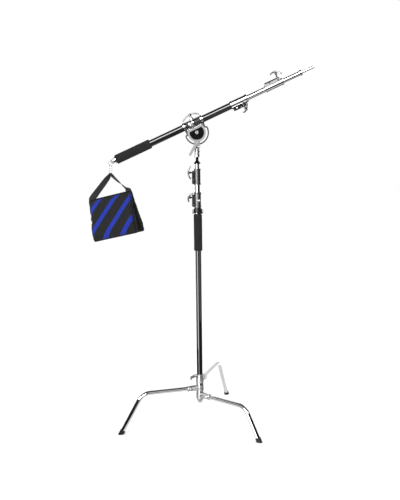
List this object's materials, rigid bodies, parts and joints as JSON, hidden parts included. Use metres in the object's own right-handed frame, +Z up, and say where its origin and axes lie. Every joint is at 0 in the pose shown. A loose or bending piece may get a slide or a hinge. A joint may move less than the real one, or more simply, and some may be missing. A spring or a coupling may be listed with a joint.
{
  "type": "c stand",
  "caption": "Light stand with swinging bent legs, sliding column, tilting boom head, telescoping boom arm on a clamp, and a saddle sandbag hung from the boom's end as counterweight.",
  "frame": {"origin": "middle of the floor area that the stand covers, at floor height", "axes": "+Z up along the column; +X level, under the boom, towards its raised end; +Y level, away from the side with the tilt lever"},
  "size_m": [1.3205, 0.8681, 2.0952],
  "materials": {
    "gloss_black": "gloss",
    "satin_black": "satin",
    "chrome": "polished",
    "dark_chrome": "polished",
    "steel": "satin",
    "cast_alloy": "gloss",
    "foam": "matte",
    "foot_rubber": "matte",
    "liner_plastic": "matte",
    "black_metal": "satin",
    "webbing": "matte",
    "bag_cloth": "matte"
  },
  "bodies": {
    "base": {"base_post": "chrome", "base_cap": "chrome", "spacer_rings": "steel", "low_bracket": "chrome", "low_leg": "chrome", "low_leg_bolt": "steel", "low_foot": "foot_rubber"},
    "middle_leg": {"middle_bracket": "chrome", "middle_leg": "chrome", "middle_leg_bolt": "steel", "middle_foot": "foot_rubber"},
    "high_leg": {"high_bracket": "chrome", "high_leg": "chrome", "high_leg_bolt": "steel", "high_foot": "foot_rubber"},
    "base_screw": {"base_lock_handle": "chrome"},
    "column": {"column_tube": "gloss_black", "column_foam_grip": "foam", "accessory_collar": "satin_black", "lower_lock_collar": "chrome", "lower_lock_bolt": "steel"},
    "lower_screw": {"lower_lock_handle": "chrome"},
    "middle_riser": {"middle_riser": "chrome", "upper_lock_collar": "chrome", "upper_lock_bolt": "steel"},
    "upper_screw": {"upper_lock_handle": "chrome"},
    "top_riser": {"top_riser": "chrome", "top_spigot": "black_metal"},
    "head": {"head_yoke": "chrome", "pivot_bolt": "steel", "tilt_lock_bolt": "steel", "clamp_washers": "steel"},
    "head_screw": {"socket_screw": "steel"},
    "lever": {"tilt_lever": "chrome"},
    "cradle": {"front_tilt_plate": "dark_chrome", "rear_tilt_plate": "dark_chrome", "friction_discs": "black_metal", "clamp_saddle": "cast_alloy", "clamp_cap": "cast_alloy", "clamp_liner": "liner_plastic", "cradle_bolts": "steel"},
    "clamp_screw": {"clamp_handle": "chrome"},
    "boom": {"boom_tube": "gloss_black", "boom_foam_grip": "foam", "boom_end_plug": "chrome", "boom_hook": "steel", "inner_boom_lock": "chrome", "inner_boom_lock_bolt": "steel"},
    "latch": {"hook_latch": "steel"},
    "inner_boom_screw": {"inner_boom_lock_handle": "chrome"},
    "middle_boom": {"middle_boom_tube": "chrome", "outer_boom_lock": "chrome", "outer_boom_lock_bolt": "steel"},
    "outer_boom_screw": {"outer_boom_lock_handle": "chrome"},
    "end_boom": {"end_boom_tube": "chrome", "boom_stud": "chrome"},
    "link": {"bag_link": "steel"},
    "bag": {"bag_strap": "webbing", "front_pouch": "bag_cloth", "rear_pouch": "bag_cloth"}
  },
  "joints": [
    {"name": "middle_leg_swing", "type": "hinge", "parent": "base", "child": "middle_leg", "pos_m": [-0.017, -0.077, 0.208], "axis": [0, 0, 1], "range_deg": [-9, 99]},
    {"name": "high_leg_swing", "type": "hinge", "parent": "base", "child": "high_leg", "pos_m": [-0.017, -0.077, 0.2525], "axis": [0, 0, 1], "range_deg": [-104, 4]},
    {"name": "base_screw_turn", "type": "hinge", "parent": "base", "child": "base_screw", "pos_m": [-0.017, -0.077, 0.28], "axis": [-0.866, -0.5, 0], "continuous": true},
    {"name": "column_lift", "type": "slide", "parent": "base", "child": "column", "axis": [0, 0, 1], "range_m": [0, 0.15]},
    {"name": "lower_screw_turn", "type": "hinge", "parent": "column", "child": "lower_screw", "pos_m": [-0.017, -0.077, 1.352], "axis": [-0.9063, -0.4226, 0], "continuous": true},
    {"name": "middle_riser_slide", "type": "slide", "parent": "column", "child": "middle_riser", "axis": [0, 0, 1], "range_m": [-0.043, 0.8]},
    {"name": "upper_screw_turn", "type": "hinge", "parent": "middle_riser", "child": "upper_screw", "pos_m": [-0.017, -0.077, 1.496], "axis": [-0.9063, -0.4226, 0], "continuous": true},
    {"name": "top_riser_slide", "type": "slide", "parent": "middle_riser", "child": "top_riser", "axis": [0, 0, 1], "range_m": [-0.027, 0.85]},
    {"name": "head_turn", "type": "hinge", "parent": "top_riser", "child": "head", "pos_m": [-0.017, -0.077, 1.6], "axis": [0, 0, 1], "continuous": true},
    {"name": "head_screw_turn", "type": "hinge", "parent": "head", "child": "head_screw", "pos_m": [-0.017, -0.077, 1.618], "axis": [0, 1, 0], "continuous": true},
    {"name": "lever_turn", "type": "hinge", "parent": "head", "child": "lever", "pos_m": [-0.017, -0.077, 1.6675], "axis": [0, 1, 0], "range_deg": [-75, 75]},
    {"name": "boom_tilt", "type": "hinge", "parent": "head", "child": "cradle", "pos_m": [-0.017, -0.077, 1.725], "axis": [0, -1, 0], "range_deg": [-48, 25]},
    {"name": "clamp_screw_turn", "type": "hinge", "parent": "cradle", "child": "clamp_screw", "pos_m": [-0.03535, -0.077, 1.77814], "axis": [-0.4091, 0, 0.9125], "continuous": true},
    {"name": "boom_slide", "type": "slide", "parent": "cradle", "child": "boom", "axis": [0.9125, 0, 0.4091], "range_m": [-0.17, 0.2]},
    {"name": "latch_open", "type": "hinge", "parent": "boom", "child": "latch", "pos_m": [-0.5145, -0.077, 1.5655], "axis": [0, -1, 0], "range_deg": [0, 35], "stiffness_Nm_per_rad": 0.02, "springref_deg": -11.46},
    {"name": "inner_boom_screw_turn", "type": "hinge", "parent": "boom", "child": "inner_boom_screw", "pos_m": [0.24204, -0.077, 1.90252], "axis": [0.3351, -0.5736, -0.7475], "continuous": true},
    {"name": "middle_boom_slide", "type": "slide", "parent": "boom", "child": "middle_boom", "axis": [0.9125, 0, 0.4091], "range_m": [-0.11, 0.6]},
    {"name": "outer_boom_screw_turn", "type": "hinge", "parent": "middle_boom", "child": "outer_boom_screw", "pos_m": [0.45739, -0.077, 1.99907], "axis": [-0.3543, -0.5, 0.7902], "continuous": true},
    {"name": "end_boom_slide", "type": "slide", "parent": "middle_boom", "child": "end_boom", "axis": [0.9125, 0, 0.4091], "range_m": [-0.1, 0.65]},
    {"name": "link_swing", "type": "hinge", "parent": "boom", "child": "link", "pos_m": [-0.5219, -0.077, 1.5518], "axis": [0, -1, 0], "range_deg": [-25, 48]},
    {"name": "bag_swing", "type": "hinge", "parent": "link", "child": "bag", "pos_m": [-0.5219, -0.077, 1.495], "axis": [0.6428, 0.766, 0], "range_deg": [-20, 20]}
  ],
  "couplings": [
    {"joint": "link_swing", "follows": "boom_tilt", "ratio": -1}
  ]
}
